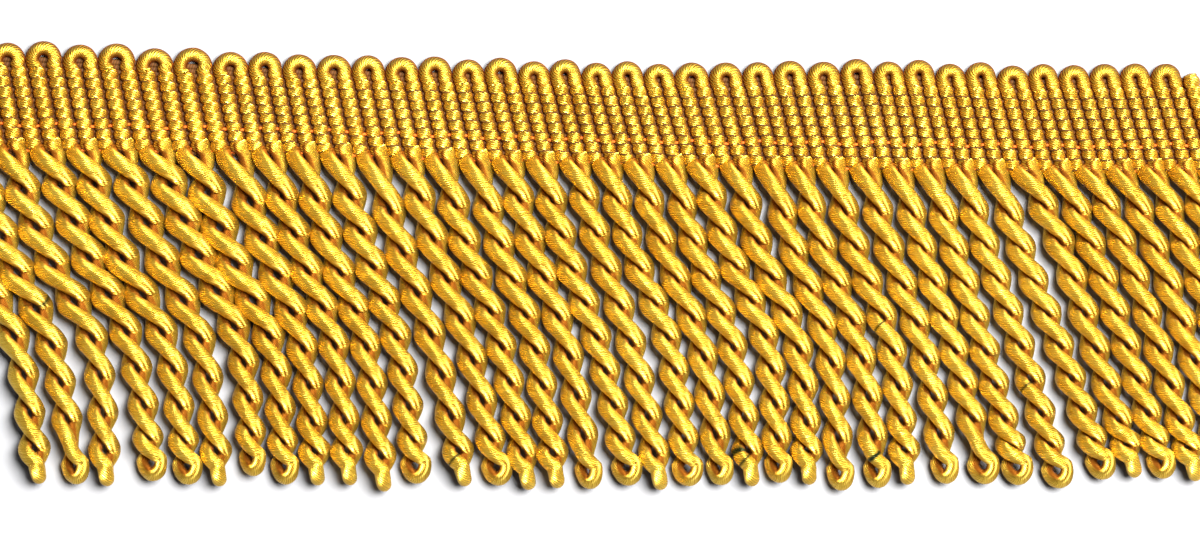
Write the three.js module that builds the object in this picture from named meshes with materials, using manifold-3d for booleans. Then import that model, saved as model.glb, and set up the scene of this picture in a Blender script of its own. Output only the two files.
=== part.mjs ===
// Bullion fringe: a cut length of gold gimp fringe lying flat, face up.
// The heading is a band of ribs, each one a pass of gimp cord, joined in pairs by small loops at the top.
// Below it hangs the skirt, a row of bullions: each is one length of gimp twisted back on itself, so that
// it shows two plies and ends in a small loop.
// Millimetres. x runs along the fringe, y points up the heading, z is off the surface that it lies on.
import * as THREE from "three";
import Module from "manifold-3d";
import { mergeVertices } from "three/addons/utils/BufferGeometryUtils.js";

const wasm = await Module();
wasm.setup();

// Driving sizes
const CENTRE_X = 70.498;      // middle of the whole fringe in the layout that the tables below use
const CENTRE_Y = -11.088;
const RIB_CREST = 1.75;       // height of a rib's crest over the surface
const RIB_GROOVE = 0.75;      // height of the groove between two ribs
const RIB_FLAT = 0.34;        // share of a rib's width that its rounded crest takes
const RIB_CORNERS = 4;        // corners of a row for each rib, and those that outline a rib with the next
const RIB_OUTLINE = [0, 1, 2, 3, 5, 4];
const LOOP_STAND = 2.05;      // how far the middle line of a top loop stands over the ribs
const LOOP_CORD = 0.82;       // half thickness of the gimp in a top loop
const LOOP_SINK = 0.7;        // how deep a top loop's ends run into their ribs
const LOOP_ROUNDING = 0.4;
const UNEVEN = 0.08;          // how unevenly the top loops stand, and how fast that changes along them
const UNEVEN_STEP = 1.7;
const LOOP_TURNS = 4;         // straight stretches in the bend of a top loop
const SEAM = 0.4;             // parting between the heading and the skirt's strip
const STRIP_WIDTH = 1.2;
const STRIP_HEIGHT = 1.75;
const STRIP_JOINTS = 13;
const PLY_REACH = 1.35;       // from a bullion's middle line to the back of either ply
const PLY_WAIST = 0.84;       // half thickness of a bullion across its two plies
const ROOT_SINK = 0.2;        // how deep a bullion starts inside the strip
const BULLION_STEPS = 30;
const TIP_ROUND = 2.4;        // over which length a bullion closes in, and its share of fullness at the end
const TIP_BLUNT = 0.5;
const LINE_ROUNDING = 0.5;
const UPPER_DROP = 9.2;       // drops at which the table below gives a bullion's place
const LOWER_DROP = 20.1;
const TIP_DROP = 33.4;
const HALF_TURN = Math.PI;
const WELD = 1e-4;            // corners nearer than this are one corner

// The heading's run: place along the fringe, rise of its lower edge, length of a rib, and how far a rib
// leans back on its way up.
const HEADING = [
  { along: -12, edge: 2.4, rib: 9.7, lean: 1.9 },
  { along: 11.5, edge: 2.4, rib: 9.3, lean: 1.9 },
  { along: 34.5, edge: 2.1, rib: 8.4, lean: 1.8 },
  { along: 55, edge: 1.2, rib: 8.8, lean: 2.1 },
  { along: 80.5, edge: 0.6, rib: 8.8, lean: 2.6 },
  { along: 103.5, edge: 0.2, rib: 9.6, lean: 2.2 },
  { along: 121, edge: 0, rib: 9.2, lean: 2.7 },
  { along: 143, edge: 0.1, rib: 9.4, lean: 3.0 },
];

// The bullions from left to right. Places along the fringe: at the heading, at the upper and lower drops
// and at the tip drop. Then the drop at which the front ply first passes over to the right side, the
// length of each half turn after that, and the drop of the lowest point of the loop at the tip.
const BULLION_COLUMNS = ["root", "upper", "lower", "tip", "first", "lay", "end"];
const BULLIONS = [
  [-7.7, -3.1, 2.1, 4.4, 2.1, 4.4, 36.0],
  [-3.4, 1.0, 6.1, 8.7, 4.0, 4.2, 36.1],
  [0.9, 5.4, 11.0, 12.3, 3.0, 4.25, 36.3],
  [5.1, 10.0, 15.2, 17.6, 2.4, 4.2, 35.7],
  [9.3, 13.8, 19.3, 21.6, 2.3, 4.25, 36.1],
  [13.4, 18.3, 23.3, 25.1, 2.3, 4.45, 36.3],
  [17.7, 22.7, 27.7, 29.2, 2.3, 4.1, 35.0],
  [22.0, 26.4, 31.3, 32.8, 3.2, 4.15, 36.1],
  [26.5, 30.8, 34.8, 36.4, 4.4, 4.2, 36.2],
  [30.6, 34.5, 38.5, 40.1, 3.8, 4.25, 36.2],
  [34.5, 38.2, 42.1, 43.9, 4.0, 4.25, 36.9],
  [38.5, 42.2, 45.8, 47.8, 3.8, 4.0, 36.0],
  [42.6, 46.2, 49.9, 53.0, 5.4, 4.7, 36.3],
  [46.5, 50.2, 53.9, 57.0, 3.9, 4.65, 36.2],
  [50.4, 53.8, 57.6, 60.3, 4.8, 4.05, 36.7],
  [54.3, 57.7, 61.4, 63.7, 5.2, 4.05, 36.5],
  [58.1, 61.4, 65.1, 67.5, 4.1, 4.5, 36.6],
  [62.0, 65.0, 68.8, 71.9, 4.3, 3.9, 36.2],
  [65.8, 69.0, 72.6, 75.4, 3.8, 4.2, 36.7],
  [69.5, 72.7, 76.9, 78.9, 4.3, 3.9, 36.3],
  [73.1, 76.4, 80.5, 82.6, 4.4, 4.45, 36.2],
  [76.8, 80.0, 84.1, 86.1, 4.9, 4.05, 36.3],
  [80.4, 83.7, 88.1, 89.4, 3.9, 3.95, 35.9],
  [84.3, 87.3, 91.6, 92.8, 4.3, 4.15, 36.1],
  [88.1, 91.2, 95.1, 96.4, 5.4, 4.25, 36.8],
  [91.6, 94.7, 98.6, 100.6, 4.6, 4.35, 36.5],
  [95.3, 98.3, 102.3, 104.0, 4.6, 4.0, 36.1],
  [99.1, 102.2, 105.9, 108.4, 4.6, 4.25, 36.0],
  [102.8, 106.0, 109.4, 112.8, 4.9, 3.9, 36.0],
  [106.4, 109.6, 112.9, 116.6, 5.2, 3.85, 36.1],
  [110.1, 113.3, 117.1, 121.1, 4.6, 3.85, 36.5],
  [113.7, 117.3, 121.6, 126.3, 5.2, 3.7, 35.5],
  [117.4, 122.0, 125.6, 129.9, 4.0, 4.1, 35.3],
  [121.2, 125.5, 129.3, 133.3, 4.6, 3.85, 35.4],
  [124.7, 129.2, 132.9, 136.8, 4.0, 4.1, 35.7],
  [128.3, 132.7, 136.5, 140.3, 4.6, 4.25, 35.9],
  [131.9, 136.3, 140.1, 143.9, 4.3, 4.15, 36.2],
  [135.4, 139.8, 143.7, 147.5, 4.0, 4.0, 35.8],
  [139.0, 143.4, 147.3, 151.1, 4.4, 4.1, 36.3],
].map((row) => Object.fromEntries(row.map((value, column) => [BULLION_COLUMNS[column], value])));

// Reads a column of the heading's run at a place along the fringe.
function headingAt(column, along) {
  const last = HEADING.length - 1;
  const next = Math.min(last, Math.max(1, HEADING.findIndex((row) => row.along > along)));
  const from = HEADING[next - 1];
  const to = HEADING[next];
  const share = THREE.MathUtils.clamp((along - from.along) / (to.along - from.along), 0, 1);
  return THREE.MathUtils.lerp(from[column], to[column], share);
}

// Place along the lower edge of the joint between two ribs: two ribs go with each bullion.
function ribJoint(index) {
  const last = BULLIONS.length - 1;
  const at = THREE.MathUtils.clamp((index - 1) / 2, 0, last);
  const left = Math.min(Math.floor(at), last - 1);
  const inside = THREE.MathUtils.lerp(BULLIONS[left].root, BULLIONS[left + 1].root, at - left);
  const quarter = (BULLIONS[1].root - BULLIONS[0].root) / 2;
  return inside + ((index - 1) / 2 - at) * quarter * 2;
}

// A point of the heading: joint number, which may lie between two, and share of the way up a rib.
function headingPoint(joint, up, height) {
  const along = ribJoint(joint);
  const x = along - headingAt("lean", along) * up;
  const y = headingAt("edge", along) + headingAt("rib", along) * up;
  return new THREE.Vector3(x, y, height);
}

// Moves each point of a geometry to where a function puts it.
function reshape(geometry, place) {
  const position = geometry.attributes.position;
  const point = new THREE.Vector3();
  for (let index = 0; index < position.count; index += 1) {
    point.fromBufferAttribute(position, index);
    place(point);
    position.setXYZ(index, point.x, point.y, point.z);
  }
  return geometry;
}

function toSolid(geometry) {
  const points = geometry.clone();
  points.deleteAttribute("normal");
  points.deleteAttribute("uv");
  const merged = mergeVertices(points, WELD);
  return new wasm.Manifold(new wasm.Mesh({
    numProp: 3,
    vertProperties: new Float32Array(merged.attributes.position.array),
    triVerts: new Uint32Array(merged.index.array),
  }));
}

function toGeometry(solid) {
  const mesh = solid.getMesh();
  const geometry = new THREE.BufferGeometry();
  geometry.setAttribute("position", new THREE.BufferAttribute(new Float32Array(mesh.vertProperties), 3));
  geometry.setIndex(new THREE.BufferAttribute(new Uint32Array(mesh.triVerts), 1));
  return geometry;
}

function joined(geometries) {
  return geometries.map(toSolid).reduce((whole, piece) => whole.add(piece));
}

// A four-sided outline from its corners to the right and above, which it repeats on the other side.
function fourSided(...corners) {
  const outline = new THREE.Shape();
  outline.moveTo(...corners[0]);
  outline.lineTo(...corners[1]);
  outline.lineTo(-corners[0][0], -corners[0][1]);
  outline.lineTo(-corners[1][0], -corners[1][1]);
  outline.closePath();
  return outline;
}

// The corners across the ribs at one share of their length: each rib has a bottom corner, a groove and
// the two edges of its crest, and a last bottom corner and groove end the row.
function ribRow(upAt) {
  const ribs = BULLIONS.length * 2;
  const row = [];
  const addCorner = (joint, height) => row.push(headingPoint(joint, upAt(ribJoint(joint)), height));
  for (let rib = 0; rib < ribs; rib += 1) {
    addCorner(rib, 0);
    addCorner(rib, RIB_GROOVE);
    addCorner(rib + 0.5 - RIB_FLAT / 2, RIB_CREST);
    addCorner(rib + 0.5 + RIB_FLAT / 2, RIB_CREST);
  }
  addCorner(ribs, 0);
  addCorner(ribs, RIB_GROOVE);
  return row;
}

// The ribbed band, flat below, from the parting over the skirt's strip to the tops of the ribs.
function ribbedBand() {
  const foot = ribRow((along) => (SEAM + STRIP_WIDTH) / headingAt("rib", along));
  const top = ribRow(() => 1);
  const faces = [];
  const addFace = (...ring) => {
    for (let corner = 2; corner < ring.length; corner += 1) {
      faces.push(ring[0], ring[corner - 1], ring[corner]);
    }
  };
  for (let rib = 0; rib < BULLIONS.length * 2; rib += 1) {
    const [base, groove, rise, fall, nextGroove, nextBase] = RIB_OUTLINE.map(
      (corner) => rib * RIB_CORNERS + corner,
    );
    const over = (corner) => corner + foot.length;
    addFace(groove, rise, over(rise), over(groove));
    addFace(rise, fall, over(fall), over(rise));
    addFace(fall, nextGroove, over(nextGroove), over(fall));
    addFace(base, over(base), over(nextBase), nextBase);
    addFace(base, nextBase, nextGroove, fall, rise, groove);
    addFace(...[nextBase, base, groove, rise, fall, nextGroove].map(over));
  }
  const end = foot.length - 2;
  addFace(foot.length, 0, 1, foot.length + 1);
  addFace(end, end + foot.length, end + foot.length + 1, end + 1);
  const band = new THREE.BufferGeometry().setFromPoints([...foot, ...top]);
  band.setIndex(faces);
  return band;
}

// The small loop that joins the tops of two ribs, one on each side of a joint.
function topLoop(joint) {
  const left = headingPoint(joint - 0.5, 1, RIB_CREST / 2);
  const right = headingPoint(joint + 0.5, 1, RIB_CREST / 2);
  const middle = left.clone().lerp(right, 0.5);
  const up = middle.clone().sub(headingPoint(joint, 0, RIB_CREST / 2)).normalize();
  const side = new THREE.Vector3(up.y, -up.x, 0);
  const reach = left.distanceTo(right) / 2;
  const stand = LOOP_STAND * (1 + UNEVEN * Math.sin(joint * UNEVEN_STEP));
  const points = [left.clone().addScaledVector(up, -LOOP_SINK)];
  for (let step = 0; step <= LOOP_TURNS; step += 1) {
    const turn = HALF_TURN * (1 - step / LOOP_TURNS);
    const out = middle.clone().addScaledVector(side, reach * Math.cos(turn));
    points.push(out.addScaledVector(up, stand - reach * (1 - Math.sin(turn))));
  }
  points.push(right.clone().addScaledVector(up, -LOOP_SINK));
  const path = new THREE.CatmullRomCurve3(points, false, "catmullrom", LOOP_ROUNDING);
  return new THREE.ExtrudeGeometry(
    fourSided([LOOP_CORD, 0], [0, LOOP_CORD]),
    { steps: points.length - 1, extrudePath: path },
  );
}

function makeHeading() {
  const loops = [];
  for (let joint = 2; joint < BULLIONS.length * 2; joint += 2) {
    loops.push(topLoop(joint));
  }
  return toGeometry(joined([ribbedBand(), ...loops]));
}

// The narrow strip under the roots of the bullions, along the heading's lower edge.
function rootStrip() {
  const joints = BULLIONS.length * 2;
  const strip = new THREE.BoxGeometry(1, 1, 1, STRIP_JOINTS, 1, 1);
  return reshape(strip, (point) => {
    const edge = headingPoint((point.x + 0.5) * joints, 0, 0);
    edge.y += STRIP_WIDTH * (point.y + 0.5);
    edge.z = STRIP_HEIGHT * (point.z + 0.5);
    point.copy(edge);
  });
}

// A bullion's middle line as it lies on the surface, down to the lowest point of its end loop.
function middleLine(bullion) {
  const top = headingAt("edge", bullion.root) + ROOT_SINK;
  const run = (bullion.end - TIP_DROP) / (TIP_DROP - LOWER_DROP);
  const end = bullion.tip + (bullion.tip - bullion.lower) * run;
  return new THREE.CatmullRomCurve3([
    new THREE.Vector3(bullion.root, top, 0),
    new THREE.Vector3(bullion.upper, -UPPER_DROP, 0),
    new THREE.Vector3(bullion.lower, -LOWER_DROP, 0),
    new THREE.Vector3(bullion.tip, -TIP_DROP, 0),
    new THREE.Vector3(end, -bullion.end, 0),
  ], false, "catmullrom", LINE_ROUNDING);
}

// How far the plies have turned at a drop: a half turn down to the first crossing, then one in each lay.
function plyTurn(bullion, drop) {
  const start = -headingAt("edge", bullion.root);
  if (drop < bullion.first) {
    return HALF_TURN * (1 - Math.max(0, drop - start) / (bullion.first - start));
  }
  return -HALF_TURN * ((drop - bullion.first) / bullion.lay);
}

// Height of the middle line: the plies lie side by side at the root and lift it as they first turn over.
function lyingHeight(turn) {
  const steepest = Math.atan2(PLY_REACH, PLY_WAIST);
  const turned = Math.min(HALF_TURN - turn, steepest);
  return PLY_REACH * Math.sin(turned) + PLY_WAIST * Math.cos(turned);
}

// The two plies of a bullion as one bar with a twist in it. It closes in at the tip, where the plies run
// into each other in a small shut loop.
function twistedPlies(bullion) {
  const line = middleLine(bullion);
  const length = line.getLength();
  const bar = new THREE.ExtrudeGeometry(
    fourSided([PLY_REACH, PLY_WAIST], [-PLY_REACH, PLY_WAIST]),
    { depth: 1, steps: BULLION_STEPS, bevelEnabled: false },
  );
  return reshape(bar, (point) => {
    const place = line.getPointAt(point.z);
    const course = line.getTangentAt(point.z);
    const turn = plyTurn(bullion, -place.y);
    const fullness = Math.min(1, TIP_BLUNT + (1 - point.z) * length / TIP_ROUND);
    const across = fullness * (point.x * Math.cos(turn) - point.y * Math.sin(turn));
    const above = fullness * (point.x * Math.sin(turn) + point.y * Math.cos(turn));
    place.z = lyingHeight(turn) + above;
    point.copy(place).addScaledVector(new THREE.Vector3(-course.y, course.x, 0), across);
  });
}

function makeSkirt() {
  return toGeometry(joined([rootStrip(), ...BULLIONS.map(twistedPlies)]));
}

function goldGimp() {
  return new THREE.MeshStandardMaterial({ color: 0xd6a53a, roughness: 0.42, metalness: 0.3 });
}

function boundGimp() {
  return new THREE.MeshStandardMaterial({ color: 0xc28c2c, roughness: 0.5, metalness: 0.25 });
}

const heading = new THREE.Mesh(makeHeading(), boundGimp());
heading.name = "heading";
const skirt = new THREE.Mesh(makeSkirt(), goldGimp());
skirt.name = "skirt";

const fringe = new THREE.Group();
fringe.add(heading, skirt);
fringe.position.set(-CENTRE_X, -CENTRE_Y, 0);

export default fringe;
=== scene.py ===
"""A cut length of gold bullion fringe, face up on a pale table, seen from straight above.

The fringe is one gimp cord, a core wrapped with lustrous floss, laid back and forth. It runs up
one rib of the heading, round a small top loop, down the next rib, then out below as one ply of a
bullion, round the loop at its tip and back up as the other ply. Thin threads bind the ribs.
"""
import math

import bpy
import numpy as np
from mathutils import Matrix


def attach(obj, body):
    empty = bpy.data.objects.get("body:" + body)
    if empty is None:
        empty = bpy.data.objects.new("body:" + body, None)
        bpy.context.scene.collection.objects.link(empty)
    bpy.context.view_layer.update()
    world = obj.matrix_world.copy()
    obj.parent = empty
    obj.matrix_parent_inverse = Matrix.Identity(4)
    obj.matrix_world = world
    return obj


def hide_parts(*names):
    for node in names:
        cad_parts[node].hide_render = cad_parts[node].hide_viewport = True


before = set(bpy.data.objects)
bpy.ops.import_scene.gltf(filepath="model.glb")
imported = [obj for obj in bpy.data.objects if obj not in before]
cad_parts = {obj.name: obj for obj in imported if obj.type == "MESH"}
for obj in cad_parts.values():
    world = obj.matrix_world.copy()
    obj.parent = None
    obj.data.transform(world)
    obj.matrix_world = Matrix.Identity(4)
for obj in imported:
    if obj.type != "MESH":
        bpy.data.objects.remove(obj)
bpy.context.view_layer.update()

# Sizes in millimetres. Places are laid out from the left edge of the stretch that is seen, with y
# pointing up the heading, and MIDDLE is the middle of the fringe in that layout.
MM = 0.001
MIDDLE = (70.498, -11.088)
SEEN_WIDTH = 138.0
SEEN_TOP = 19.55
SEEN_BOTTOM = -41.86

# The plies of a bullion: fullness is a share of the radius, spread and drops say how far the plies
# stand apart and where they are loose or tight.
GIMP_RADIUS = 0.96
PLY_OFFSET = 0.85
LOOSE_SPREAD = 1.5
TIP_SPREAD = 1.2
WIDE_PITCH = 2.15
STRAIGHTNESS = 0.88
FLATNESS = 0.48
FRONT_SWELL = 0.07
BEND_LEAN = 0.55
LOOSE_DROP = 9.0
TIGHT_DROP = 25.0
LOOSE_FULLNESS = 0.97
ROOM_FULLNESS = 0.25
TIP_FULLNESS = 0.83

# The ribs and top loops of the heading.
RIB_RADIUS = 0.95
RIB_FULLNESS = 0.94
RIB_HEIGHT = 0.82
RIB_POINTS = 72
RIB_TUCK = 0.25 / 9
RIB_TOP = 1.0
END_RIB_TOP = 1.17
LOOP_RADIUS = 0.8
LOOP_STAND = 2.1
LOOP_POINTS = 34
LOOP_EASE_POINTS = 7
UNEVEN = 0.08
UNEVEN_STEP = 1.7

# The threads that bind the ribs, and the dark wefts that fill the grooves between them and stand in
# for the shade there.
BINDING_ROWS = 8
BINDING_RADIUS = 0.085
BINDING_LOW = 0.35
BINDING_CREST = 0.78
BINDING_BULGE = 0.8
BINDING_WANDER = 0.012
WEFT_RADIUS = 0.36
WEFT_HEIGHT = 0.5
THREAD_STEPS = 8
ORANGE_RADIUS = 0.17
ORANGE_ROWS = (2.35, 0.0)
ORANGE_HEIGHT = 0.8
ORANGE_RISE = 0.2
ORANGE_WANDER = 0.02

# The loop at the tip of a bullion, and the drops at which its middle line is given.
TIP_LOOP = 1.5
TIP_LENGTH = 1.65
LOOP_OPENING = 2.3
LOOP_FULLNESS = 0.88
EYE_FULLNESS = 0.7
EYE_EASE = 1.5
TIP_EASE = 4.5
TIP_DROP = 33.4
UPPER_DROP = 9.2
LOWER_DROP = 20.1

# The run of the plies: points along them, how far they start behind the heading, and how their
# first turn eases in.
PLY_POINTS = 190
TIP_POINTS = 26
TUCK = 0.9
ROOT_SPREAD = (0.6, 2.4)
START_HOLD = 0.1
FRONT_EASE = 1.05
BACK_EASE = 1.7
STRETCH_STEPS = 40
LINE_POINTS = 300
END_ROUNDING = 0.75

# How the tree shapes the cord: its unevenness along a metre and from strand to strand, how sharply
# a binding thread pinches it and how narrow the painted shade in that crease is, how much painted
# shade the inner side of a bend gets, and where a ply counts as lying in front for its highlights.
UNEVEN_SCALE = 900
STRAND_SHIFT = 7.3
PINCH_SHARPNESS = 2.6
CREASE_SHARPNESS = 4
BEND_SHADE = 0.9
FRONT_GAIN = 2.5
FRONT_START = 0.35
MERGE_DISTANCE = 2e-7

METALLIC = 0.92
WRAP_DEPTH = 0.00013
# Painted highlight streaks on front plies, the painted dark line between them, and dark thread
# ends.
GLINT_COLOR = (1.0, 0.76, 0.14, 1)
SHADE_LINE_COLOR = (0.3, 0.11, 0.005, 1)
MARK_COLOR = (0.02, 0.03, 0.01, 1)

# The studio, in metres.
TABLE_REACH = 1.5
LAMP_SIZE = (0.42, 0.42)
SKY_STRENGTH = 0.14
CAMERA_DISTANCE = 0.55

# Place along the fringe, rise of the heading's lower edge, length of a rib, and how far a rib leans
# back on its way up.
HEADING_COLUMNS = ("along", "edge", "rib", "lean")
HEADING = np.array([
    (-12, 2.4, 9.7, 1.9),
    (11.5, 2.4, 9.3, 1.9),
    (34.5, 2.1, 8.4, 1.8),
    (55, 1.2, 8.8, 2.1),
    (80.5, 0.6, 8.8, 2.6),
    (103.5, 0.2, 9.6, 2.2),
    (121, 0, 9.2, 2.7),
    (143, 0.1, 9.4, 3.0),
])

# The bullions from left to right: place at the heading, at the upper and lower drops and at the tip
# drop, the drop at which the front ply first passes over to the right, the length of each half
# turn after that, the drop of the lowest point of the tip loop, and how far in degrees the loop is
# turned out of the plane of the table.
BULLION_COLUMNS = ("root", "upper", "lower", "tip", "first", "lay", "end", "loop")
BULLIONS = [dict(zip(BULLION_COLUMNS, row)) for row in (
    (-7.7, -3.1, 2.1, 4.4, 1.3, 4.4, 36.0, 90),
    (-3.4, 1.0, 6.1, 8.7, 3.2, 4.2, 36.1, 42),
    (0.9, 5.4, 11.0, 12.3, 2.2, 4.25, 36.3, 90),
    (5.1, 10.0, 15.2, 17.6, 1.6, 4.2, 35.7, 35),
    (9.3, 13.8, 19.3, 21.6, 1.5, 4.25, 36.1, 35),
    (13.4, 18.3, 23.3, 25.1, 1.5, 4.45, 36.3, 90),
    (17.7, 22.7, 27.7, 29.2, 1.5, 4.1, 35.0, 48),
    (22.0, 26.4, 31.3, 32.8, 2.4, 4.15, 36.1, 42),
    (26.5, 30.8, 34.8, 36.4, 3.6, 4.2, 36.2, 90),
    (30.6, 34.5, 38.5, 40.1, 3.0, 4.25, 36.2, 90),
    (34.5, 38.2, 42.1, 43.9, 3.2, 4.25, 36.9, 90),
    (38.5, 42.2, 45.8, 47.8, 3.0, 4.0, 36.0, 35),
    (42.6, 46.2, 49.9, 53.0, 4.6, 4.7, 36.3, 90),
    (46.5, 50.2, 53.9, 57.0, 3.1, 4.65, 36.2, 35),
    (50.4, 53.8, 57.6, 60.3, 4.0, 4.05, 36.7, 90),
    (54.3, 57.7, 61.4, 63.7, 4.4, 4.05, 36.5, 90),
    (58.1, 61.4, 65.1, 67.5, 3.3, 4.5, 36.6, 48),
    (62.0, 65.0, 68.8, 71.9, 3.5, 3.9, 36.2, 35),
    (65.8, 69.0, 72.6, 75.4, 3.0, 4.2, 36.7, 90),
    (69.5, 72.7, 76.9, 78.9, 3.5, 3.9, 36.3, 35),
    (73.1, 76.4, 80.5, 82.6, 3.6, 4.45, 36.2, 48),
    (76.8, 80.0, 84.1, 86.1, 4.1, 4.05, 36.3, 90),
    (80.4, 83.7, 88.1, 89.4, 3.1, 3.95, 35.9, 48),
    (84.3, 87.3, 91.6, 92.8, 4.0, 4.15, 36.1, 90),
    (88.1, 91.2, 95.1, 96.4, 5.1, 4.25, 36.8, 48),
    (91.6, 94.7, 98.6, 100.6, 4.3, 4.35, 36.5, 48),
    (95.3, 98.3, 102.3, 104.0, 4.8, 4.0, 36.1, 90),
    (99.1, 102.2, 105.9, 108.4, 4.8, 4.25, 36.0, 48),
    (102.8, 106.0, 109.4, 112.8, 5.1, 3.9, 36.0, 35),
    (106.4, 109.6, 112.9, 116.6, 5.4, 3.85, 36.1, 35),
    (110.1, 113.3, 117.1, 121.1, 4.8, 3.85, 36.5, 35),
    (113.7, 117.3, 121.6, 126.3, 5.4, 3.7, 35.5, 42),
    (117.4, 122.0, 125.6, 129.9, 4.2, 4.1, 35.3, 90),
    (121.2, 125.5, 129.3, 133.3, 4.8, 3.85, 35.4, 48),
    (124.7, 129.2, 132.9, 136.8, 4.2, 4.1, 35.7, 90),
    (128.3, 132.7, 136.5, 140.3, 4.8, 4.25, 35.9, 42),
    (131.9, 136.3, 140.1, 143.9, 4.5, 4.15, 36.2, 90),
    (135.4, 139.8, 143.7, 147.5, 4.2, 4.0, 35.8, 48),
    (139.0, 143.4, 147.3, 151.1, 4.6, 4.1, 36.3, 90),
)]
RIBS = 2 * len(BULLIONS)

# Dark thread ends: the bullion, counted from 0 at the left, and the drop.
THREAD_MARKS = [(1, 15.5), (12, 33.1), (21, 32.4), (21, 33.3), (25, 32.8), (26, 17.8), (30, 24.7)]
MARK_WIDTH = 0.25


# The layout of the heading

def heading_at(column, along):
    return np.interp(along, HEADING[:, 0], HEADING[:, HEADING_COLUMNS.index(column)])


def rib_joint(index):
    """Place along the lower edge of the joint between two ribs; two ribs go with each bullion."""
    roots = np.array([bullion["root"] for bullion in BULLIONS])
    at = (np.asarray(index, float) - 1) / 2
    inside = np.interp(at, np.arange(len(roots)), roots)
    beyond = at - np.clip(at, 0, len(roots) - 1)
    return inside + beyond * (roots[1] - roots[0])


def heading_point(joint, up, height):
    """A point of the heading: joint number, which may lie between two, and share up the rib."""
    along = rib_joint(joint)
    x = along - heading_at("lean", along) * up
    y = heading_at("edge", along) + heading_at("rib", along) * up
    return np.stack(np.broadcast_arrays(x, y, height), axis=-1).astype(float)


# The run of a bullion's middle line

def middle_line(bullion):
    """Evenly spaced points from the root of a bullion to the lowest point of its tip loop."""
    top = heading_at("edge", bullion["root"]) + TUCK
    run = (bullion["end"] - TIP_DROP) / (TIP_DROP - LOWER_DROP)
    end = bullion["tip"] + (bullion["tip"] - bullion["lower"]) * run
    knots = np.array([
        (bullion["root"], top),
        (bullion["upper"], -UPPER_DROP),
        (bullion["lower"], -LOWER_DROP),
        (bullion["tip"], -TIP_DROP),
        (end, -bullion["end"]),
    ])
    before = 2 * knots[:1] - knots[1:2]
    after = 2 * knots[-1:] - knots[-2:-1]
    slopes = (np.vstack([knots[1:], after]) - np.vstack([before, knots[:-1]])) / 2
    share = np.linspace(0, 1, STRETCH_STEPS, endpoint=False)[:, None]
    stretches = [
        knots[i] * (1 + 2 * share) * (1 - share) ** 2 + slopes[i] * share * (1 - share) ** 2
        + knots[i + 1] * share ** 2 * (3 - 2 * share) + slopes[i + 1] * share ** 2 * (share - 1)
        for i in range(len(knots) - 1)
    ]
    points = np.vstack(stretches + [knots[-1:]])
    steps = np.linalg.norm(np.diff(points, axis=0), axis=1)
    length = np.concatenate([[0], np.cumsum(steps)])
    even = np.linspace(0, length[-1], LINE_POINTS)
    line = np.stack([np.interp(even, length, points[:, axis]) for axis in (0, 1)], axis=1)
    return line, even


def ply_turn(bullion, drop, ease):
    """How far the plies have turned: a half turn to the first crossing, then one in each lay."""
    start = -START_HOLD - heading_at("edge", bullion["root"])
    opening = np.clip(drop - start, 0, None) / (bullion["first"] - start)
    opening = math.pi * (1 - opening ** ease)
    twisting = -math.pi * (drop - bullion["first"]) / bullion["lay"]
    return np.where(drop < bullion["first"], opening, twisting)


def swing_share(turn):
    """How far to the right a ply is at a turn: nearly straight from one side to the other."""
    return np.arcsin(STRAIGHTNESS * np.cos(turn)) / math.asin(STRAIGHTNESS)


def smooth(values, start, end):
    share = np.clip((values - start) / (end - start), 0, 1)
    return share * share * (3 - 2 * share)


def eased_turn(bullion, drop, eye_drop, ease):
    """The turn of the plies, eased over the last stretch so that the tip loop lies as it should."""
    at_eye = ply_turn(bullion, np.array(eye_drop), ease)
    half_turns = round((eye_drop - bullion["first"]) / bullion["lay"] + bullion["loop"] / 180)
    wanted = math.radians(bullion["loop"]) - math.pi * half_turns
    turn = ply_turn(bullion, drop, ease)
    return turn + (wanted - at_eye) * smooth(drop, eye_drop - TIP_EASE, eye_drop)


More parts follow.
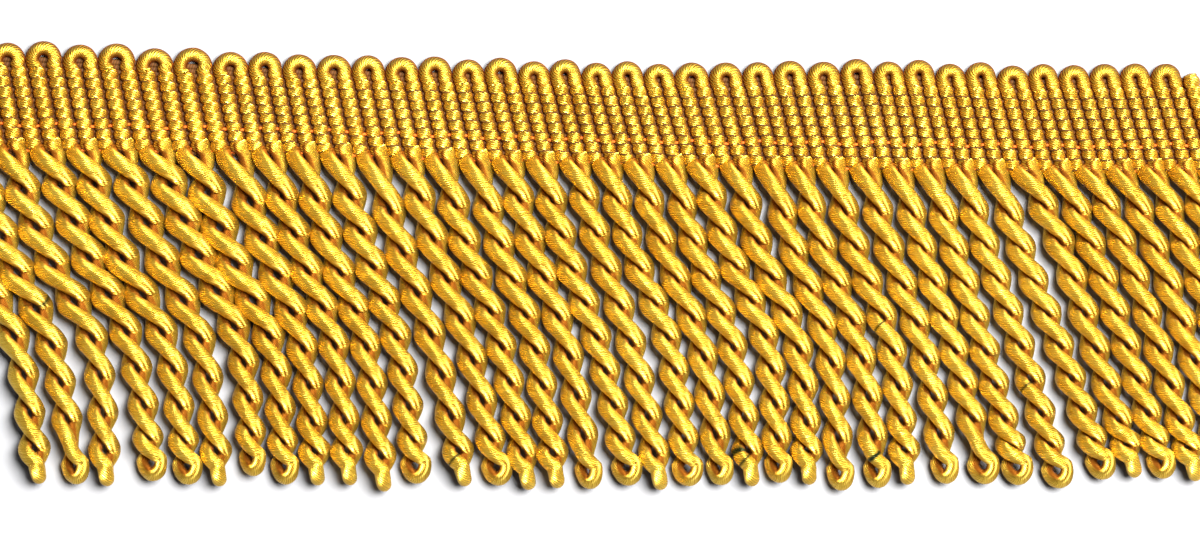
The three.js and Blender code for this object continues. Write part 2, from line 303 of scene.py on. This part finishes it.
def bullion_guide(bullion, number):
    """The gimp of one bullion: down as one ply, round the tip loop and back up as the other ply."""
    line, length = middle_line(bullion)
    eye = length[-1] - TIP_LENGTH - GIMP_RADIUS * LOOP_FULLNESS
    going = np.linspace(0, eye, PLY_POINTS)
    swing = np.linspace(0, math.pi, TIP_POINTS + 2)[1:-1]
    at = np.concatenate([going, np.full(TIP_POINTS, eye), going[::-1]])
    x = np.interp(at, length, line[:, 0])
    y = np.interp(at, length, line[:, 1])
    course = np.stack([np.gradient(line[:, axis], length) for axis in (0, 1)], axis=1)
    course_x = np.interp(at, length, course[:, 0])
    course_y = np.interp(at, length, course[:, 1])
    ease = np.where(np.arange(len(at)) < PLY_POINTS, FRONT_EASE, BACK_EASE)
    turn = eased_turn(bullion, -y, -np.interp(eye, length, line[:, 1]), ease)
    turned = np.clip(math.pi - turn, 0, math.pi / 2)
    pitch = rib_pitch(2 * number + 1)
    room = (pitch / WIDE_PITCH) ** 2
    drop = -y[:PLY_POINTS]
    tight = smooth(drop, LOOSE_DROP, TIGHT_DROP)
    spread = LOOSE_SPREAD * room + (TIP_SPREAD - LOOSE_SPREAD * room) * tight
    at_root = 1 - smooth(going, TUCK * ROOT_SPREAD[0], TUCK * ROOT_SPREAD[1])
    side = spread + (pitch / 2 / PLY_OFFSET - spread) * at_root
    side += (TIP_LOOP / PLY_OFFSET - side) * smooth(going, eye - LOOP_OPENING, eye)
    loose = LOOSE_FULLNESS * room ** ROOM_FULLNESS
    full = loose + (TIP_FULLNESS - loose) * tight
    eye_shows = math.cos(math.radians(bullion["loop"]))
    at_eye = LOOP_FULLNESS + (EYE_FULLNESS - LOOP_FULLNESS) * eye_shows
    full += (at_eye - full) * smooth(going, eye - EYE_EASE, eye)
    bottom = at_eye + (LOOP_FULLNESS - at_eye) * np.sin(swing) ** 2
    fullness = np.concatenate([full, bottom, full[::-1]])
    ply = np.concatenate([going * 0 + 1, np.cos(swing), going * 0 - 1])
    fullness *= 1 + FRONT_SWELL * ply * np.sin(turn)
    past = np.concatenate([0 * going, np.sin(swing), 0 * going])
    inner_x = course_y * swing_share(turn) * ply - course_x * past
    inner_y = -course_x * swing_share(turn) * ply - course_y * past
    return {
        "points": np.stack([x, y, GIMP_RADIUS + PLY_OFFSET * np.sin(turned)], axis=1),
        "course": np.stack([course_x, course_y, np.zeros(len(at))], axis=1),
        "turn": turn,
        "side": np.concatenate([side, np.cos(swing) * TIP_LOOP / PLY_OFFSET, -side[::-1]]),
        "rise": np.concatenate([going * 0 + 1, np.cos(swing), going * 0 - 1]),
        "beyond": past * TIP_LENGTH,
        "inner": np.stack([inner_x, inner_y, 0 * inner_x], axis=1),
        "fullness": fullness * end_fullness(len(at)),
        "strand": np.full(len(at), float(number)),
        "mark": thread_marks(number, -y) * (ply * np.sin(turn) > 0),
    }


def thread_marks(number, drop):
    """One where a dark thread end is caught round the gimp, and nothing elsewhere."""
    places = [place for marked, place in THREAD_MARKS if marked == number]
    if not places:
        return np.zeros(len(drop))
    nearest = np.abs(drop[:, None] - np.array(places)).min(axis=1)
    return (nearest < MARK_WIDTH / 2).astype(float)


def end_fullness(count):
    """One along a strand, and nothing at its two closed ends."""
    fullness = np.ones(count)
    fullness[[0, -1]] = 0
    fullness[[1, -2]] = END_ROUNDING
    return fullness


# The run of the gimp in the heading

def rib_pitch(joint):
    return float(rib_joint(joint + 0.5) - rib_joint(joint - 0.5))


def rib_run(joint, going_up, top=RIB_TOP):
    up = np.linspace(-RIB_TUCK, top, RIB_POINTS)
    points = heading_point(joint, up, RIB_HEIGHT)
    row = up * BINDING_ROWS
    if not going_up:
        return points[::-1], row[::-1]
    return points, row


def loop_run(joint):
    """The bend of a top loop, between the tops of the ribs on both sides of a joint."""
    left = heading_point(joint - 0.5, RIB_TOP, RIB_HEIGHT)
    right = heading_point(joint + 0.5, RIB_TOP, RIB_HEIGHT)
    middle = (left + right) / 2
    up = middle - heading_point(joint, 0, RIB_HEIGHT)
    up /= np.linalg.norm(up)
    side = np.array([up[1], -up[0], 0])
    reach = np.linalg.norm(right - left) / 2
    spread = 2 * reach - LOOP_RADIUS
    stand = LOOP_STAND * (1 + UNEVEN * math.sin(joint * UNEVEN_STEP))
    leg = np.linspace(0, 1, LOOP_POINTS // 3, endpoint=False)
    leg_across = reach + (spread - reach) * smooth(leg, 0, 1)
    leg_rise = (stand - spread) * leg
    turn = np.linspace(math.pi, 0, LOOP_POINTS)
    across = np.concatenate([-leg_across, spread * np.cos(turn), leg_across[::-1]])
    rise = np.concatenate([leg_rise, stand - spread + spread * np.sin(turn), leg_rise[::-1]])
    points = middle + across[:, None] * side + rise[:, None] * up
    inward = np.concatenate([leg_across * 0 + 1, -np.cos(turn), leg_across * 0 - 1])
    downward = np.concatenate([leg_rise * 0, np.sin(turn), leg_rise * 0])
    bent = np.concatenate([leg, turn * 0 + 1, leg[::-1]])
    inner = (inward[:, None] * side - downward[:, None] * up) * bent[:, None]
    return points[1:-1], inner[1:-1]


def heading_guide(joint):
    """Up one rib, round the top loop over a joint and down the next rib."""
    first, first_row = rib_run(joint - 0.5, True)
    second, second_row = rib_run(joint + 0.5, False)
    bend, bend_inner = loop_run(joint)
    points = np.vstack([first, bend, second])
    inner = np.vstack([first * 0, bend_inner, second * 0])
    free = np.zeros(len(bend))
    bound = np.concatenate([np.ones(RIB_POINTS), free, np.ones(RIB_POINTS)])
    row = np.concatenate([first_row, free, second_row])
    slim = np.concatenate([np.zeros(RIB_POINTS), free + 1, np.zeros(RIB_POINTS)])
    padded = np.pad(slim, LOOP_EASE_POINTS // 2, mode="edge")
    ease = np.convolve(padded, np.ones(LOOP_EASE_POINTS) / LOOP_EASE_POINTS, mode="valid")
    rib = RIB_FULLNESS * rib_pitch(joint) / (2 * RIB_RADIUS)
    fullness = end_fullness(len(points)) * (rib + (LOOP_RADIUS / RIB_RADIUS - rib) * ease)
    return rib_guide(points, inner, bound, row, fullness, joint)


def end_rib_guide(joint, number):
    """A lone rib at either end, cut off plainly over its binding."""
    points, row = rib_run(joint, True, END_RIB_TOP)
    rib = RIB_FULLNESS * rib_pitch(joint) / (2 * RIB_RADIUS)
    bound = np.ones(len(points))
    return rib_guide(points, points * 0, bound, row, rib * end_fullness(len(points)), number)


def rib_guide(points, inner, bound, row, fullness, number):
    return {
        "points": points,
        "inner": inner,
        "bound": bound,
        "row": row,
        "fullness": fullness,
        "strand": np.full(len(points), float(number)),
    }


def binding_guide(row):
    """A thin thread along the heading that goes over each rib and down into each groove."""
    joints = np.linspace(0, RIBS, RIBS * THREAD_STEPS + 1)
    across = 2 * (joints % 1) - 1
    crest = RIB_HEIGHT + BINDING_CREST * RIB_RADIUS
    height = BINDING_LOW + (crest - BINDING_LOW) * np.sqrt(1 - across ** 2) ** BINDING_BULGE
    wander = BINDING_WANDER * np.sin(joints * 2.1 + row * 1.3)
    return {
        "points": heading_point(joints, row / BINDING_ROWS + wander, height),
        "fullness": end_fullness(len(joints)),
        "strand": np.full(len(joints), float(row)),
    }


def shade_filler_weft_guide(row):
    """A thicker thread inside the heading that fills the grooves from below, dark to stand in for
    shade.
    """
    joints = np.linspace(0, RIBS, RIBS + 1)
    return {
        "points": heading_point(joints, row / BINDING_ROWS, WEFT_HEIGHT),
        "fullness": end_fullness(len(joints)) * WEFT_RADIUS / BINDING_RADIUS,
        "strand": np.full(len(joints), float(row)),
    }


def orange_guide(row, number):
    """An orange thread that shows only in the grooves between the ribs."""
    joints = np.linspace(0, RIBS, RIBS * THREAD_STEPS + 1)
    in_groove = np.cos(joints * 2 * math.pi) * 0.5 + 0.5
    height = ORANGE_HEIGHT + ORANGE_RISE * in_groove
    wander = ORANGE_WANDER * np.sin(joints * 1.7 + number)
    return {
        "points": heading_point(joints, row / BINDING_ROWS + wander, height),
        "fullness": end_fullness(len(joints)),
        "strand": np.full(len(joints), float(number)),
    }


# Trees: one short way to write nodes

class Value:
    """A socket that can be used in sums; each sum adds its Math node."""

    def __init__(self, tree, socket):
        self.tree = tree
        self.socket = socket

    def math(self, operation, *others):
        return self.tree.math(operation, self, *others)

    def __add__(self, other):
        return self.math("ADD", other)

    def __sub__(self, other):
        return self.math("SUBTRACT", other)

    def __mul__(self, other):
        return self.math("MULTIPLY", other)

    def __truediv__(self, other):
        return self.math("DIVIDE", other)

    def __pow__(self, other):
        return self.math("POWER", other)

    def __rsub__(self, other):
        return self.tree.math("SUBTRACT", other, self)

    def __rtruediv__(self, other):
        return self.tree.math("DIVIDE", other, self)

    __radd__ = __add__
    __rmul__ = __mul__

    def clamp(self):
        return self.tree.node("ShaderNodeClamp", Value=self).out("Result")


class Node:
    def __init__(self, tree, node):
        self.tree = tree
        self.node = node

    def out(self, name=0):
        return Value(self.tree, self.node.outputs[name])


class Tree:
    def __init__(self, tree):
        self.tree = tree

    def link(self, value, socket):
        if isinstance(value, Node):
            value = value.out()
        if isinstance(value, Value):
            self.tree.links.new(value.socket, socket)
        else:
            socket.default_value = value

    def node(self, kind, settings=None, at=None, **sockets):
        """Adds a node. Settings come first; sockets go by name, or by number in the dict at."""
        node = self.tree.nodes.new(kind)
        for name, value in (settings or {}).items():
            setattr(node, name, value)
        for name, value in sockets.items():
            self.link(value, node.inputs[name.replace("_", " ")])
        for number, value in (at or {}).items():
            self.link(value, node.inputs[number])
        return Node(self, node)

    def math(self, operation, *values):
        return self.node("ShaderNodeMath", {"operation": operation}, dict(enumerate(values))).out()

    def vector(self, operation, *values, scale=None):
        at = dict(enumerate(values))
        if scale is not None:
            at[3] = scale
        output = "Value" if operation in ("DOT_PRODUCT", "LENGTH") else "Vector"
        return self.node("ShaderNodeVectorMath", {"operation": operation}, at).out(output)

    def blend(self, factor, first, second):
        """Mixes two colours."""
        settings = {"data_type": "RGBA", "blend_type": "MIX"}
        return self.node("ShaderNodeMix", settings, {0: factor, 6: first, 7: second}).out(2)

    def part(self, vector, axis):
        return self.node("ShaderNodeSeparateXYZ", Vector=vector).out(axis)

    def near(self, value, place, reach):
        """One where a value is at a place, falling to nothing at its reach."""
        return (1 - ((value - place).math("ABSOLUTE") / reach)).clamp()

    def ramp(self, value, *stops):
        """Colours by value; each stop is a place and a colour."""
        ramp = self.node("ShaderNodeValToRGB", None, {0: value})
        elements = ramp.node.color_ramp.elements
        while len(elements) < len(stops):
            elements.new(0.5)
        for element, (place, color) in zip(elements, stops):
            element.position = place
            element.color = (*color, 1)
        return ramp.out("Color")


# The tree that lays gimp and threads along their guides

def laid_cord_tree():
    group = bpy.data.node_groups.new("Laid cord", "GeometryNodeTree")
    interface = group.interface
    interface.new_socket("Geometry", in_out="INPUT", socket_type="NodeSocketGeometry")
    for name, kind in (
        ("Radius", "Float"), ("Ply offset", "Float"), ("Pinch", "Float"), ("Unevenness", "Float"),
        ("Bend lean", "Float"), ("Sides", "Int"), ("Seed", "Float"), ("Material", "Material"),
    ):
        interface.new_socket(name, in_out="INPUT", socket_type="NodeSocket" + kind)
    interface.new_socket("Geometry", in_out="OUTPUT", socket_type="NodeSocketGeometry")
    tree = Tree(group)
    given = tree.node("NodeGroupInput")

    def named(name, kind="FLOAT"):
        attribute = tree.node("GeometryNodeInputNamedAttribute", {"data_type": kind}, Name=name)
        return attribute.out("Attribute")

    def store(geometry, name, value, kind="FLOAT", domain="POINT"):
        settings = {"data_type": kind, "domain": domain}
        return tree.node("GeometryNodeStoreNamedAttribute", settings,
                         Geometry=geometry, Name=name, Value=value)

    def position():
        return tree.node("GeometryNodeInputPosition")

    # The two plies of a bullion turn about its middle line.
    course = named("course", "FLOAT_VECTOR")
    parts = tree.node("ShaderNodeSeparateXYZ", Vector=course)
    to_right = tree.node("ShaderNodeCombineXYZ", X=0 - parts.out("Y"), Y=parts.out("X"))
    turn = named("turn")
    swing = (turn.math("COSINE") * STRAIGHTNESS).math("ARCSINE") / math.asin(STRAIGHTNESS)
    lift = turn.math("SINE")
    lift = lift.math("SIGN") * lift.math("ABSOLUTE") ** FLATNESS
    to_right = tree.vector("SCALE", to_right, scale=swing * named("side"))
    rise = lift * named("rise")
    to_top = tree.node("ShaderNodeCombineXYZ", Z=rise)
    to_ply = tree.vector("ADD", to_right, to_top)
    to_ply = tree.vector("SCALE", to_ply, scale=given.out("Ply offset"))
    past = tree.vector("SCALE", course, scale=named("beyond"))
    spine = store(given.out("Geometry"), "spine", position(), "FLOAT_VECTOR")
    to_ply = tree.vector("ADD", to_ply, past)
    plies = tree.node("GeometryNodeSetPosition", Geometry=spine, Offset=to_ply)

    # The thickness: uneven along the cord, and pinched where a binding thread crosses.
    length = tree.node("GeometryNodeSplineParameter").out("Length")
    shift = named("strand") * STRAND_SHIFT + given.out("Seed")
    place = tree.node("ShaderNodeCombineXYZ", X=length * UNEVEN_SCALE, Y=shift)
    wander = tree.node("ShaderNodeTexNoise", {"noise_dimensions": "2D"},
                       Scale=1.0, Detail=2.0, Vector=place)
    uneven = 1 + (wander.out("Fac") - 0.5) * given.out("Unevenness")
    from_thread = (named("row") + 0.5).math("FRACT") - 0.5
    near_thread = (1 - from_thread.math("ABSOLUTE") * 2) ** PINCH_SHARPNESS
    pinched = 1 - near_thread * given.out("Pinch") * named("bound")
    thickness = given.out("Radius") * uneven * pinched * named("fullness")

    # A round cord along each line, with what the materials and the next steps read along it.
    plies = store(plies, "crease", near_thread ** CREASE_SHARPNESS * named("bound"))
    curve = tree.node("GeometryNodeMeshToCurve", Mesh=plies)
    curve = store(curve, "along", length)
    curve = store(curve, "middle", position(), "FLOAT_VECTOR")
    ring = tree.node("GeometryNodeCurveArc", {"mode": "RADIUS"}, Resolution=given.out("Sides"),
                     Radius=1.0, Sweep_Angle=2 * math.pi)
    ring = store(ring, "around", tree.node("GeometryNodeSplineParameter").out("Factor"))
    body = tree.node("GeometryNodeCurveToMesh", Curve=curve, Profile_Curve=ring, Scale=thickness)

    # Where the surface faces: into the twist or a bend, out of a bend, down, and whether it is on
    # the bend at the right end of a front ply. The materials paint shade and highlights from these.
    middle = named("middle", "FLOAT_VECTOR")
    inner = named("inner", "FLOAT_VECTOR")
    from_middle = tree.vector("SUBTRACT", position(), middle)
    away = tree.vector("NORMALIZE", from_middle)
    to_spine = tree.vector("SUBTRACT", named("spine", "FLOAT_VECTOR"), middle)
    facing = tree.vector("DOT_PRODUCT", away, tree.vector("NORMALIZE", to_spine))
    toward = tree.vector("DOT_PRODUCT", from_middle, inner) / given.out("Radius")
    in_front = (rise * FRONT_GAIN + FRONT_START).clamp()
    body = store(body, "inside", facing.math("MAXIMUM", toward * BEND_SHADE))
    body = store(body, "outside", 0 - toward)
    body = store(body, "down", 0 - tree.part(away, "Z"))
    body = store(body, "bend", in_front * (0 - tree.part(inner, "X")))

    # In a bend the wraps crowd at the inner side, so the cord stands higher there.
    above = tree.part(from_middle, "Z").math("MAXIMUM", 0.0)
    lean = tree.node("ShaderNodeCombineXYZ", Z=toward * above * given.out("Bend lean"))
    body = tree.node("GeometryNodeSetPosition", Geometry=body, Offset=lean)

    # The wrap map: length in millimetres and share of the way round.
    wrap = tree.node("ShaderNodeCombineXYZ", X=named("along") * 1000, Y=named("around"))
    body = store(body, "wrap", wrap, "FLOAT2", "CORNER")
    body = tree.node("GeometryNodeMergeByDistance", Geometry=body, Distance=MERGE_DISTANCE)

    # Nothing sinks into the surface on which the fringe lies.
    parts = tree.node("ShaderNodeSeparateXYZ", Vector=position())
    height = parts.out("Z").math("MAXIMUM", 0.0)
    place = tree.node("ShaderNodeCombineXYZ", X=parts.out("X"), Y=parts.out("Y"), Z=height)
    body = tree.node("GeometryNodeSetPosition", Geometry=body, Position=place)
    body = tree.node("GeometryNodeSetShadeSmooth", Geometry=body)
    body = tree.node("GeometryNodeRealizeInstances", Geometry=body)
    body = tree.node("GeometryNodeSetMaterial", Geometry=body, Material=given.out("Material"))
    tree.node("NodeGroupOutput", Geometry=body)
    return group


def guide_mesh(name, guides):
    """One mesh of loose lines, each with the values that the tree reads along it."""
    points = np.vstack([guide["points"] for guide in guides]) * MM
    points[:, 0] -= MIDDLE[0] * MM
    points[:, 1] -= MIDDLE[1] * MM
    edges = []
    start = 0
    for guide in guides:
        count = len(guide["points"])
        edges += [(start + i, start + i + 1) for i in range(count - 1)]
        start += count
    mesh = bpy.data.meshes.new(name)
    mesh.from_pydata(points.tolist(), edges, [])
    for key in guides[0]:
        if key == "points":
            continue
        values = np.concatenate([guide[key] for guide in guides])
        if key == "beyond":
            values = values * MM
        kind, field = ("FLOAT_VECTOR", "vector") if values.ndim == 2 else ("FLOAT", "value")
        mesh.attributes.new(key, kind, "POINT").data.foreach_set(field, values.ravel())
    return mesh


def laid_cord(name, guides, tree, material, **inputs):
    """Lays a cord along guides and keeps the result as a plain mesh."""
    piece = bpy.data.objects.new(name, guide_mesh(name, guides))
    bpy.context.scene.collection.objects.link(piece)
    laid = piece.modifiers.new("laid", "NODES")
    laid.node_group = tree
    identifiers = {
        item.name: item.identifier for item in tree.interface.items_tree if item.in_out == "INPUT"
    }
    laid[identifiers["Material"]] = material
    for key, value in inputs.items():
        laid[identifiers[key.replace("_", " ")]] = value
    graph = bpy.context.evaluated_depsgraph_get()
    finished = bpy.data.meshes.new_from_object(
        piece.evaluated_get(graph), preserve_all_data_layers=True, depsgraph=graph,
    )
    piece.modifiers.clear()
    piece.data = finished
    finished.name = name
    return piece


# Materials

def material_tree(name):
    material = bpy.data.materials.new(name)
    material.use_nodes = True
    material.node_tree.nodes.clear()
    return material, Tree(material.node_tree)


def finish_material(tree, color, roughness, normal, **constants):
    shader = tree.node("ShaderNodeBsdfPrincipled",
                       Base_Color=color, Roughness=roughness, Normal=normal, **constants)
    tree.node("ShaderNodeOutputMaterial", Surface=shader)


def floss_material(name, colors, painted_shade, olive_shade, starts, pitch,
                   inside_reach, down_start, down_reach, down_share, outside_share, glints):
    """Lustrous floss wrapped closely round the cord, with each wrap and bundle a little different.

    colors are the deep, middle and bright gold. The next two colours are painted shade: the first
    where the surface faces into the twist or down, the olive one on the outer side of bends. starts
    is how many wraps lie side by side, and pitch their distance in millimetres. glints is one where
    front plies get painted highlight streaks.
    """
    material, tree = material_tree(name)
    wrap = tree.node("ShaderNodeUVMap", {"uv_map": "wrap"})
    parts = tree.node("ShaderNodeSeparateXYZ", Vector=wrap)
    along, around = parts.out("X"), parts.out("Y")
    place = tree.node("ShaderNodeTexCoord").out("Object")

    def stored(name):
        return tree.node("ShaderNodeAttribute", {"attribute_name": name}).out("Fac")

    def noise(scale, detail, vector, roughness=0.5):
        texture = tree.node("ShaderNodeTexNoise",
                            Scale=scale, Detail=detail, Roughness=roughness, Vector=vector)
        return texture.out("Fac")

    sway = noise(420.0, 2.0, place)
    wraps = along / pitch + around * starts + sway * 1.2
    wave = (wraps * (2 * math.pi)).math("SINE") * 0.5 + 0.5
    streak_place = tree.node("ShaderNodeCombineXYZ", X=wraps * 0.9, Y=along * 0.35)
    streak = noise(1.0, 3.0, streak_place, 0.6)
    lengthwise = (around * 5 + along * 0.12 + sway * 0.8) * (2 * math.pi)
    ridges = lengthwise.math("SINE") * 0.5 + 0.5
    patches = noise(260.0, 2.0, place)
    drift = noise(38.0, 1.0, place)
    tone = (streak + patches * 0.35 + drift * 0.35 + wave * 0.2 - 0.36).clamp()
    deep, middle, bright = colors
    color = tree.ramp(tone, (0.0, deep), (0.5, middle), (1.0, bright))

    # Painted light at the right end of a front ply: two painted highlight streaks with a painted
    # dark line between them, and painted olive shade on the outer side of bends, strongest beyond
    # them.
    across = stored("outside")
    bend = ((stored("bend") - 0.3) / 0.4).clamp() * glints
    top = (0 - stored("down")).math("GREATER_THAN", 0.0)
    shade_line = tree.near(across, 0.03, 0.12) * bend * top
    highlight_streaks = tree.near(across, 0.25, 0.15).math("MAXIMUM", tree.near(across, -0.2, 0.15))
    glint = highlight_streaks * bend * top
    outside = ((across - 0.1) / 0.6).clamp() * (outside_share + bend * 0.4)
    color = tree.blend(outside, color, (*olive_shade, 1))

    # Painted shade: darker floss where it faces into the twist or a bend, where it faces down, and
    # in the crease where a binding thread crosses.
    inside = stored("inside") / inside_reach
    below = ((stored("down") - down_start) / down_reach).clamp() * down_share
    shade_share = inside.clamp().math("MAXIMUM", below) ** 1.2
    shade_share = shade_share.math("MAXIMUM", stored("crease") * 0.75)
    color = tree.blend(shade_share, color, (*painted_shade, 1))
    color = tree.blend(glint * 0.85, color, GLINT_COLOR)
    color = tree.blend(shade_line * 0.8, color, SHADE_LINE_COLOR)
    color = tree.blend(stored("mark"), color, MARK_COLOR)

    height = wave * 0.7 + streak * 0.6 + ridges * 0.3
    normal = tree.node("ShaderNodeBump", Strength=1.0, Distance=WRAP_DEPTH, Height=height)
    roughness = (0.44 - wave * 0.06 - streak * 0.14 + shade_share * 0.3).clamp()
    finish_material(tree, color, roughness, normal, Metallic=METALLIC - glint * 0.34)
    return material


def thread_material(name, dark, light):
    """Thin spun thread with a fine twist."""
    material, tree = material_tree(name)
    wrap = tree.node("ShaderNodeUVMap", {"uv_map": "wrap"})
    parts = tree.node("ShaderNodeSeparateXYZ", Vector=wrap)
    turns = (parts.out("X") * 3.2 + parts.out("Y") * 2) * (2 * math.pi)
    twist = turns.math("SINE") * 0.5 + 0.5
    place = tree.node("ShaderNodeTexCoord").out("Object")
    patches = tree.node("ShaderNodeTexNoise", Scale=300.0, Detail=2.0, Vector=place).out("Fac")
    tone = (twist * 0.4 + patches * 0.6).clamp()
    color = tree.ramp(tone, (0.2, dark), (0.8, light))
    normal = tree.node("ShaderNodeBump", Strength=0.5, Distance=0.00003, Height=twist)
    finish_material(tree, color, 0.65 + patches * 0.2, normal, Specular_IOR_Level=0.15)
    return material


# The pieces

def make_pieces():
    cord = laid_cord_tree()
    skirt_gold = floss_material(
        "gold floss",
        colors=((0.35, 0.15, 0.008), (0.66, 0.39, 0.032), (0.93, 0.69, 0.1)),
        painted_shade=(0.19, 0.058, 0.003), olive_shade=(0.34, 0.18, 0.015), starts=16, pitch=0.24,
        inside_reach=0.6, down_start=-0.35, down_reach=0.8, down_share=0.8,
        outside_share=0.3, glints=1.0,
    )
    heading_gold = floss_material(
        "bound gold floss",
        colors=((0.26, 0.105, 0.006), (0.55, 0.31, 0.025), (0.86, 0.62, 0.085)),
        painted_shade=(0.16, 0.032, 0.003), olive_shade=(0.19, 0.095, 0.01), starts=10, pitch=0.3,
        inside_reach=0.7, down_start=-0.82, down_reach=0.5, down_share=0.95,
        outside_share=0.9, glints=0.0,
    )
    # Dark brown for binding threads and wefts; in the wefts this dark stands in for shade in the
    # grooves.
    brown_thread = thread_material(
        "brown binding thread", (0.022, 0.008, 0.001), (0.075, 0.026, 0.003))
    orange_thread = thread_material(
        "orange binding thread", (0.3, 0.045, 0.003), (0.48, 0.1, 0.008))

    skirt = []
    share = len(BULLIONS) // 3
    for number in range(3):
        chosen = range(number * share, (number + 1) * share)
        guides = [bullion_guide(BULLIONS[i], i) for i in chosen]
        skirt.append(laid_cord(
            f"bullions_{number + 1}", guides, cord, skirt_gold,
            Radius=GIMP_RADIUS * MM, Ply_offset=PLY_OFFSET * MM, Pinch=0.0, Unevenness=0.16,
            Bend_lean=BEND_LEAN, Sides=18, Seed=3.0,
        ))

    guides = [heading_guide(joint) for joint in range(2, RIBS, 2)]
    guides += [end_rib_guide(0.5, -1), end_rib_guide(RIBS - 0.5, RIBS + 1)]
    heading = laid_cord(
        "gimp_heading", guides, cord, heading_gold,
        Radius=RIB_RADIUS * MM, Ply_offset=0.0, Pinch=0.26, Unevenness=0.12,
        Bend_lean=BEND_LEAN, Sides=14, Seed=11.0,
    )
    bindings = [binding_guide(row) for row in range(BINDING_ROWS)]
    bindings += [shade_filler_weft_guide(row) for row in np.arange(-0.25, BINDING_ROWS + 1, 0.5)]
    rows = laid_cord(
        "binding_threads", bindings, cord, brown_thread,
        Radius=BINDING_RADIUS * MM, Ply_offset=0.0, Pinch=0.0, Unevenness=0.2,
        Sides=7, Seed=5.0,
    )
    guides = [orange_guide(row, number) for number, row in enumerate(ORANGE_ROWS)]
    orange = laid_cord(
        "orange_threads", guides, cord, orange_thread,
        Radius=ORANGE_RADIUS * MM, Ply_offset=0.0, Pinch=0.0, Unevenness=0.2,
        Sides=7, Seed=6.0,
    )
    return skirt, heading, rows, orange


def dress(skirt, heading, rows, orange):
    for piece in skirt:
        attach(piece, "root")
    for piece in (heading, rows, orange):
        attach(piece, "root")
    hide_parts("skirt")
    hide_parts("heading")


# Table, light and camera

def pale_table():
    material, tree = material_tree("pale table")
    place = tree.node("ShaderNodeTexCoord").out("Object")
    grain = tree.node("ShaderNodeTexNoise", Scale=60.0, Detail=3.0, Vector=place).out("Fac")
    color = tree.ramp(grain, (0.3, (0.145, 0.145, 0.148)), (0.7, (0.16, 0.16, 0.163)))
    normal = tree.node("ShaderNodeBump", Strength=0.02, Distance=0.0001, Height=grain)
    finish_material(tree, color, 0.7, normal)
    mesh = bpy.data.meshes.new("table")
    corners = [(-TABLE_REACH, -TABLE_REACH, 0), (TABLE_REACH, -TABLE_REACH, 0),
               (TABLE_REACH, TABLE_REACH, 0), (-TABLE_REACH, TABLE_REACH, 0)]
    mesh.from_pydata(corners, [], [(0, 1, 2, 3)])
    mesh.materials.append(material)
    table = bpy.data.objects.new("table", mesh)
    bpy.context.scene.collection.objects.link(table)


def soft_lamp(name, place, power):
    lamp = bpy.data.lights.new(name, "AREA")
    lamp.shape = "RECTANGLE"
    lamp.size, lamp.size_y = LAMP_SIZE
    lamp.energy = power
    holder = bpy.data.objects.new(name, lamp)
    holder.location = place
    direction = holder.location * -1
    holder.rotation_euler = direction.to_track_quat("-Z", "Y").to_euler()
    bpy.context.scene.collection.objects.link(holder)


def light_the_table():
    """Two soft lamps over the right of the picture, set crosswise to the gaps between bullions."""
    soft_lamp("upper lamp", (0.28, 0.22, 0.77), 28.5)
    soft_lamp("right lamp", (0.38, 0.15, 0.73), 27.5)
    world = bpy.data.worlds.new("studio")
    world.use_nodes = True
    sky = world.node_tree.nodes["Background"]
    sky.inputs["Color"].default_value = (0.95, 0.97, 1.0, 1)
    sky.inputs["Strength"].default_value = SKY_STRENGTH
    bpy.context.scene.world = world
    bpy.context.scene.view_settings.view_transform = "Standard"
    bpy.context.scene.view_settings.look = "None"


def photo_camera():
    camera = bpy.data.cameras.new("camera")
    camera.sensor_width = 36.0
    camera.lens = camera.sensor_width * CAMERA_DISTANCE / (SEEN_WIDTH * MM)
    camera.clip_start = 0.01
    holder = bpy.data.objects.new("camera", camera)
    holder.location = (
        (SEEN_WIDTH / 2 - MIDDLE[0]) * MM,
        ((SEEN_TOP + SEEN_BOTTOM) / 2 - MIDDLE[1]) * MM,
        CAMERA_DISTANCE,
    )
    bpy.context.scene.collection.objects.link(holder)
    bpy.context.scene.camera = holder


dress(*make_pieces())
pale_table()
light_the_table()
photo_camera()
